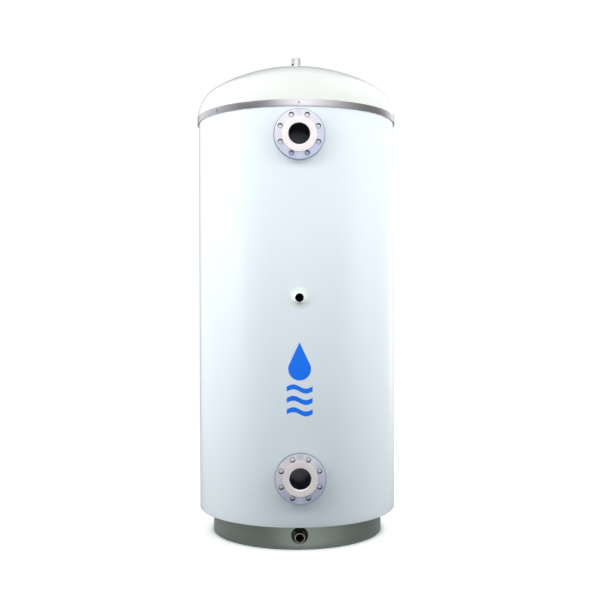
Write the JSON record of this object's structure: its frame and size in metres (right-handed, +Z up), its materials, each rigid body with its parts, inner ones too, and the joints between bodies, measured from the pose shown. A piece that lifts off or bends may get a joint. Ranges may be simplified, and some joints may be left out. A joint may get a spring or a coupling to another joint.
{
  "type": "hot water storage cylinder",
  "caption": "Insulated hot water storage cylinder for a solar heating circuit: white jacket, domed cover with steel band, turning loose flanges at the front, base ring with drain.",
  "frame": {"origin": "centre of the base ring's foot, on the floor, on the cylinder's axis", "axes": "+Z up along the cylinder's axis, -Y the front with the flanged ports, +X the right side seen from behind the front"},
  "size_m": [0.863, 0.9265, 2.0603],
  "materials": {
    "jacket_white": "satin white coating",
    "cover_white": "smooth white moulding",
    "band_stainless": "brushed along the band",
    "base_stainless": "dull rolled stainless steel",
    "tray_galvanised": "galvanised",
    "vessel_stainless": "pickled stainless steel",
    "flange_galvanised": "passivated zinc, faint lilac",
    "collar_stainless": "turned, warm grey",
    "pipe_stainless": "drawn stainless steel",
    "socket_metal": "turned stainless steel",
    "socket_brass": "dull brass",
    "trim_plastic": "white moulding",
    "seal_rubber": "pale grey rubber",
    "foam": "closed-cell rigid foam",
    "screw_steel": "stainless steel",
    "rivet_metal": "plain rivet",
    "plate_metal": "anodised, blank",
    "mark_film": "blue film"
  },
  "bodies": {
    "tank": {"base_ring": "base_stainless", "base_tray": "tray_galvanised", "jacket": "jacket_white", "jacket_joint_strip": "jacket_white", "jacket_joint_rivets": "rivet_metal", "data_plate": "plate_metal", "data_plate_rivets": "rivet_metal", "front_mark": "mark_film", "top_cover": "cover_white", "cover_band": "band_stainless", "cover_band_screws": "screw_steel", "top_grommet": "trim_plastic", "insulation_sleeve": "foam", "insulation_top": "foam", "insulation_base": "foam", "vessel_shell": "vessel_stainless", "vessel_top_head": "vessel_stainless", "vessel_bottom_head": "vessel_stainless", "top_pipe": "pipe_stainless", "top_socket": "socket_metal", "upper_nozzle_pipe": "pipe_stainless", "upper_collar": "collar_stainless", "upper_nozzle_seal": "seal_rubber", "upper_diffuser": "vessel_stainless", "lower_nozzle_pipe": "pipe_stainless", "lower_collar": "collar_stainless", "lower_nozzle_seal": "seal_rubber", "lower_diffuser": "vessel_stainless", "sensor_socket": "socket_brass", "sensor_rosette": "trim_plastic", "drain_elbow": "pipe_stainless", "drain_pipe": "pipe_stainless", "drain_socket": "socket_metal"},
    "upper_flange": {"upper_loose_flange": "flange_galvanised"},
    "lower_flange": {"lower_loose_flange": "flange_galvanised"}
  },
  "joints": [
    {"name": "upper_flange_swivel", "type": "hinge", "parent": "tank", "child": "upper_flange", "pos_m": [0, -0.4807, 1.642], "axis": [0, -1, 0], "continuous": true},
    {"name": "lower_flange_swivel", "type": "hinge", "parent": "tank", "child": "lower_flange", "pos_m": [0, -0.4807, 0.30763], "axis": [0, -1, 0], "continuous": true}
  ]
}
